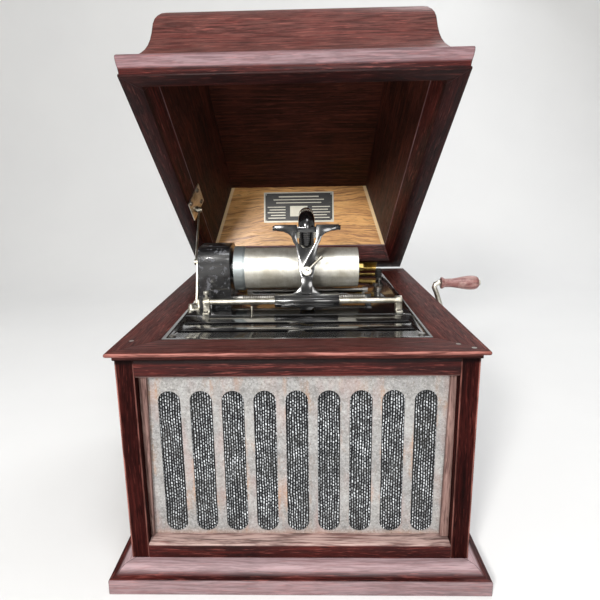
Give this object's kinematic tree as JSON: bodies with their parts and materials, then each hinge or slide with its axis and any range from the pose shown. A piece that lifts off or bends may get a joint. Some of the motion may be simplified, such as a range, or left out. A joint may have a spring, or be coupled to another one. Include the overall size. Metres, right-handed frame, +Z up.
{
  "type": "cylinder phonograph",
  "caption": "Table cylinder phonograph: lidded wooden case with slotted grille, mandrel on a black bedplate, carriage on a guide rod and a side crank.",
  "frame": {"origin": "middle of the underside of the base moulding", "axes": "+X to the right seen from the front, +Y to the back, +Z up; the front with the grille faces -Y"},
  "size_m": [0.3985, 0.4476, 0.5241],
  "materials": {
    "red_wood": "worn satin varnish",
    "dark_wood": "satin varnish",
    "plain_wood": "unfinished",
    "gold_oak": "satin varnish",
    "zinc_sheet": "dull, stained",
    "cloth": "coarse weave",
    "black_enamel": "gloss enamel, worn",
    "nickel": "worn nickel plate",
    "steel": "plain steel",
    "spring_steel": "blued steel",
    "brass": "plain brass",
    "grip_wood": "faded lacquer",
    "plate_black": "black paint with a bright edge",
    "mica": "clear mineral sheet"
  },
  "bodies": {
    "cabinet": {"base_moulding": "red_wood", "bottom_board": "plain_wood", "corner_posts": "red_wood", "side_panels": "red_wood", "back_panel": "dark_wood", "front_rails": "red_wood", "grille_strips": "red_wood", "grille_sheet": "zinc_sheet", "grille_cloth": "cloth", "deck_frame": "red_wood", "plate_bearers": "plain_wood", "crank_escutcheon": "nickel", "bedplate": "black_enamel", "gear_cover": "black_enamel", "shaft_bearings": "black_enamel", "guide_rod": "nickel", "rod_brackets": "nickel", "machine_screws": "nickel", "rear_rail": "nickel", "motor_frame": "black_enamel", "horn_post": "black_enamel", "stay_foot": "brass", "hinges_fixed": "brass"},
    "lid": {"lid_rim": "red_wood", "lid_walls": "red_wood", "lid_top_board": "red_wood", "lid_side_linings": "dark_wood", "lid_front_lining": "dark_wood", "lid_rear_panel": "gold_oak", "lid_top_lining": "dark_wood", "data_plate": "plate_black", "lid_fasteners": "brass", "stay_bracket": "brass", "hinges_lid": "brass"},
    "stay_lower": {"stay_strap": "steel"},
    "stay_upper": {"stay_rod": "nickel"},
    "mandrel_unit": {"mandrel": "nickel", "mandrel_shaft": "steel", "shaft_nut": "brass"},
    "idler": {"idler_gear": "brass"},
    "feed": {"feed_screw": "steel"},
    "centre_unit": {"centre_shaft": "brass"},
    "barrel": {"spring_barrel": "steel", "mainspring": "spring_steel"},
    "governor": {"governor_shaft": "steel", "governor_fittings": "brass"},
    "winder": {"crank": "nickel", "ratchet_wheel": "steel"},
    "winder_grip": {"crank_grip": "grip_wood"},
    "pawl": {"ratchet_pawl": "steel"},
    "carriage_unit": {"carriage": "black_enamel", "half_nut": "brass", "horn_elbow": "black_enamel"},
    "lever": {"lift_lever": "nickel"},
    "sound_head": {"reproducer": "black_enamel", "diaphragm": "mica"},
    "sound_horn": {"horn": "black_enamel"},
    "stop_control": {"stop_knob": "steel"},
    "speed_control": {"speed_screw": "nickel"}
  },
  "joints": [
    {"name": "lid_hinge", "type": "hinge", "parent": "cabinet", "child": "lid", "pos_m": [0, 0.1995, 0.2234], "axis": [1, 0, 0], "range_deg": [0, 35.5]},
    {"name": "stay_foot_pivot", "type": "hinge", "parent": "cabinet", "child": "stay_lower", "pos_m": [-0.1112, -0.039, 0.2285], "axis": [1, 0, 0], "range_deg": [0, 107.2]},
    {"name": "stay_lid_pivot", "type": "hinge", "parent": "lid", "child": "stay_upper", "pos_m": [-0.1269, 0.082, 0.3222], "axis": [1, 0, 0], "range_deg": [-60.6, 0]},
    {"name": "mandrel_spin", "type": "hinge", "parent": "cabinet", "child": "mandrel_unit", "pos_m": [0, -0.022, 0.263], "axis": [1, 0, 0], "continuous": true},
    {"name": "idler_spin", "type": "hinge", "parent": "cabinet", "child": "idler", "pos_m": [-0.09, -0.01199, 0.22738], "axis": [1, 0, 0], "continuous": true},
    {"name": "centre_spin", "type": "hinge", "parent": "cabinet", "child": "centre_unit", "pos_m": [-0.09, 0.01001, 0.18248], "axis": [1, 0, 0], "continuous": true},
    {"name": "barrel_spin", "type": "hinge", "parent": "cabinet", "child": "barrel", "pos_m": [-0.08, 0.05403, 0.14171], "axis": [1, 0, 0], "continuous": true},
    {"name": "feed_spin", "type": "hinge", "parent": "cabinet", "child": "feed", "pos_m": [0, -0.0292, 0.2308], "axis": [1, 0, 0], "continuous": true},
    {"name": "governor_spin", "type": "hinge", "parent": "cabinet", "child": "governor", "pos_m": [-0.09, -0.0275, 0.1764], "axis": [1, 0, 0], "continuous": true},
    {"name": "crank_turn", "type": "hinge", "parent": "cabinet", "child": "winder", "pos_m": [0.15, 0.05403, 0.14171], "axis": [1, 0, 0], "continuous": true},
    {"name": "grip_spin", "type": "hinge", "parent": "winder", "child": "winder_grip", "pos_m": [0.2, 0.05403, 0.22821], "axis": [1, 0, 0], "continuous": true},
    {"name": "pawl_pivot", "type": "hinge", "parent": "cabinet", "child": "pawl", "pos_m": [-0.057, 0.07403, 0.15671], "axis": [1, 0, 0], "range_deg": [-12, 0]},
    {"name": "carriage_slide", "type": "slide", "parent": "cabinet", "child": "carriage_unit", "axis": [1, 0, 0], "range_m": [-0.05, 0.05]},
    {"name": "lift_lever_turn", "type": "hinge", "parent": "carriage_unit", "child": "lever", "pos_m": [0.0105, -0.06055, 0.26552], "axis": [0, -0.9781, 0.2079], "range_deg": [0, 60]},
    {"name": "sound_head_lift", "type": "slide", "parent": "carriage_unit", "child": "sound_head", "axis": [0, 0, 1], "range_m": [0, 0.00475]},
    {"name": "horn_swing", "type": "hinge", "parent": "cabinet", "child": "sound_horn", "pos_m": [0.0105, -0.147, 0.06], "axis": [0, 0, 1], "range_deg": [-15.5, 15.5]},
    {"name": "stop_knob_push", "type": "slide", "parent": "cabinet", "child": "stop_control", "axis": [0, 0, 1], "range_m": [-0.004, 0]},
    {"name": "speed_screw_turn", "type": "hinge", "parent": "cabinet", "child": "speed_control", "pos_m": [0.0974, 0.029, 0.225], "axis": [0, 0, 1], "range_deg": [-170, 170]}
  ],
  "couplings": [
    {"joint": "stay_foot_pivot", "follows": "lid_hinge", "ratio": 3.0114},
    {"joint": "stay_lid_pivot", "follows": "lid_hinge", "ratio": -1.7},
    {"joint": "idler_spin", "follows": "mandrel_spin", "ratio": -0.85},
    {"joint": "centre_spin", "follows": "mandrel_spin", "ratio": 0.56667},
    {"joint": "barrel_spin", "follows": "mandrel_spin", "ratio": -0.074843},
    {"joint": "feed_spin", "follows": "mandrel_spin", "ratio": -2},
    {"joint": "governor_spin", "follows": "mandrel_spin", "ratio": -3.0222},
    {"joint": "horn_swing", "follows": "carriage_slide", "rad_per_m": -5.3},
    {"joint": "sound_head_lift", "follows": "lift_lever_turn", "m_per_rad": 0.0045}
  ]
}
